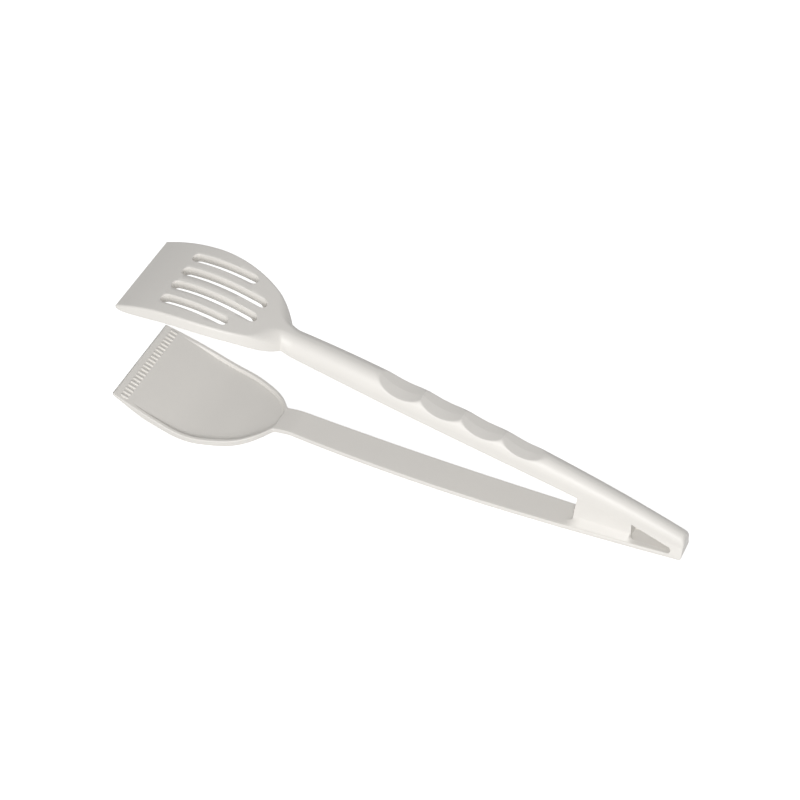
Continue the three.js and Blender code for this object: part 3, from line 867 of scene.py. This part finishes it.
def plasticMaterial(group):
    # the moulded surface with the plastic's own colour and gloss
    material = bpy.data.materials.new("mouldedPlastic")
    material.use_nodes = True
    nodes, links = material.node_tree.nodes, material.node_tree.links
    shader = nodes["Principled BSDF"]
    shader.inputs["Specular IOR Level"].default_value = plastic["specular"]
    surface = nodes.new("ShaderNodeGroup")
    surface.node_tree = group
    surface.inputs["Colour"].default_value = plastic["colour"]
    surface.inputs["Mottle"].default_value = plastic["mottle"]
    surface.inputs["Gloss Spread"].default_value = plastic["glossSpread"]
    surface.inputs["Roughness"].default_value = plastic["roughness"]
    bump = nodes.new("ShaderNodeBump")
    bump.inputs["Strength"].default_value = plastic["bump"]
    bump.inputs["Distance"].default_value = plastic["bumpDepth"]
    links.new(surface.outputs["Colour"], shader.inputs["Base Color"])
    links.new(surface.outputs["Roughness"], shader.inputs["Roughness"])
    links.new(surface.outputs["Height"], bump.inputs["Height"])
    links.new(bump.outputs["Normal"], shader.inputs["Normal"])
    return material


# Studio, in metres

studio = {
    "floorColour": (0.62, 0.62, 0.617, 1.0), "floorRoughness": 0.9, "floorGlow": 0.82, "floorReach": 6.0,
    "floorRows": 13, "ambient": 0.397, "white": (1.0, 1.0, 1.0, 1.0), "lampAim": (0.0, 0.0, 0.03),
    "key": {"from": (0.24, -0.80, 0.44), "size": 0.5, "power": 4.8},
    "fill": {"from": (0.1, -1.0, 0.56), "size": 0.8, "power": 1.9},
}


def seenWhite(nodes, links):
    # 1 for rays from the camera or by way of a reflection or glass, otherwise 0
    path = nodes.new("ShaderNodeLightPath").outputs
    straight = addMath(nodes, links, "MAXIMUM", path["Is Camera Ray"], path["Is Glossy Ray"])
    return addMath(nodes, links, "MAXIMUM", straight, path["Is Transmission Ray"])


def floorMaterial():
    # a pale matt floor that glows up to white where it is seen, and is clear from below
    material = bpy.data.materials.new("paleFloor")
    material.use_nodes = True
    nodes, links = material.node_tree.nodes, material.node_tree.links
    shader = nodes["Principled BSDF"]
    shader.inputs["Base Color"].default_value = studio["floorColour"]
    shader.inputs["Roughness"].default_value = studio["floorRoughness"]
    shader.inputs["Specular IOR Level"].default_value = 0.0
    shader.inputs["Emission Color"].default_value = studio["white"]
    glow = addMath(nodes, links, "MULTIPLY", seenWhite(nodes, links), studio["floorGlow"])
    links.new(glow, shader.inputs["Emission Strength"])
    side, clear = nodes.new("ShaderNodeNewGeometry"), nodes.new("ShaderNodeBsdfTransparent")
    mixed = nodes.new("ShaderNodeMixShader")
    links.new(side.outputs["Backfacing"], mixed.inputs[0])
    links.new(shader.outputs[0], mixed.inputs[1])
    links.new(clear.outputs[0], mixed.inputs[2])
    links.new(mixed.outputs[0], nodes["Material Output"].inputs["Surface"])
    return material


def makeFloor():
    # flat, in rows across the bend of the strip; ahead of the bend the lower arm, which the tongs stand on,
    # lies on it
    reach = studio["floorReach"]
    bendRows = np.linspace(bendStart[0], bendEnd[0], studio["floorRows"])
    rows = np.concatenate([[reach], bendRows, [-reach]])
    x, y = np.meshgrid(rows, [-reach, reach], indexing="ij")
    corners = pointsOf(x, y, 0 * x).reshape(-1, 3)
    mesh = bpy.data.meshes.new("floor")
    mesh.from_pydata(corners.tolist(), [], [face[::-1] for face in loftFaces(len(rows), 2, wrap=False)])
    mesh.materials.append(floorMaterial())
    floor = bpy.data.objects.new("floor", mesh)
    bpy.context.scene.collection.objects.link(floor)
    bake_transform(floor)


def makeWorld():
    # white where it is seen, and a dimmer light from all sides for the rest
    world = bpy.data.worlds.new("studio")
    world.use_nodes = True
    bpy.context.scene.world = world
    nodes, links = world.node_tree.nodes, world.node_tree.links
    background = nodes["Background"]
    background.inputs["Color"].default_value = studio["white"]
    strength = nodes.new("ShaderNodeMapRange")
    strength.inputs["To Min"].default_value = studio["ambient"]
    strength.inputs["To Max"].default_value = 1.0
    links.new(seenWhite(nodes, links), strength.inputs["Value"])
    links.new(strength.outputs[0], background.inputs["Strength"])


def makeLamp(name):
    # a round soft lamp turned towards the middle of the tongs
    lamp = bpy.data.lights.new(name, "AREA")
    lamp.shape = "DISK"
    lamp.size = studio[name]["size"]
    lamp.energy = studio[name]["power"]
    holder = bpy.data.objects.new(name, lamp)
    holder.location = studio[name]["from"]
    towards = Vector(studio["lampAim"]) - holder.location
    holder.rotation_euler = towards.to_track_quat("-Z", "Y").to_euler()
    bpy.context.scene.collection.objects.link(holder)


# The aim and the distance are in millimetres.
camera = {
    "azimuth": 23.963, "elevation": 43.088, "aim": (-1.975, 0.0, 43.87), "distance": 1148.4,
    "lens": 108.0, "sensor": 36.0, "clip": (0.01, 30.0),
}


def makeCamera():
    # at the distance from the aim, back along the direction that both angles give
    azimuth, elevation = math.radians(camera["azimuth"]), math.radians(camera["elevation"])
    back = Vector((math.sin(azimuth) * math.cos(elevation), -math.cos(azimuth) * math.cos(elevation),
                   math.sin(elevation)))
    data = bpy.data.cameras.new("photoCamera")
    data.sensor_width = camera["sensor"]
    data.lens = camera["lens"]
    data.clip_start, data.clip_end = camera["clip"]
    holder = bpy.data.objects.new("photoCamera", data)
    holder.location = (Vector(camera["aim"]) + back * camera["distance"]) * mm
    holder.rotation_euler = back.to_track_quat("Z", "Y").to_euler()
    bpy.context.scene.collection.objects.link(holder)
    bpy.context.scene.camera = holder


# Assembly

bpy.context.scene.view_settings.view_transform = "Standard"
makeCamera()
makeWorld()
makeFloor()
makeLamp("key")
makeLamp("fill")
print("studio ready")

upper = upperMoulding()
print("upper moulding:", len(upper.data.polygons), "faces")
lower = lowerMoulding()
print("lower moulding:", len(lower.data.polygons), "faces")
bars = scoopRidges()
print("scoop ridges:", len(bars.data.polygons), "faces")

material = plasticMaterial(mouldedGroup())
for piece in (upper, lower, bars):
    piece.data.materials.clear()
    piece.data.materials.append(material)

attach(upper, "upper_arm")
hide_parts("grip_handle", "slotted_blade", "web_rib", "tail_block", "strip_root")
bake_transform(lower)
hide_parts("spring_strip", "scoop")
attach(bars, "lower_arm")
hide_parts(*["scoop_ridge_%02d" % (i + 1) for i in range(ridges["count"])])
print("pieces on their bodies")
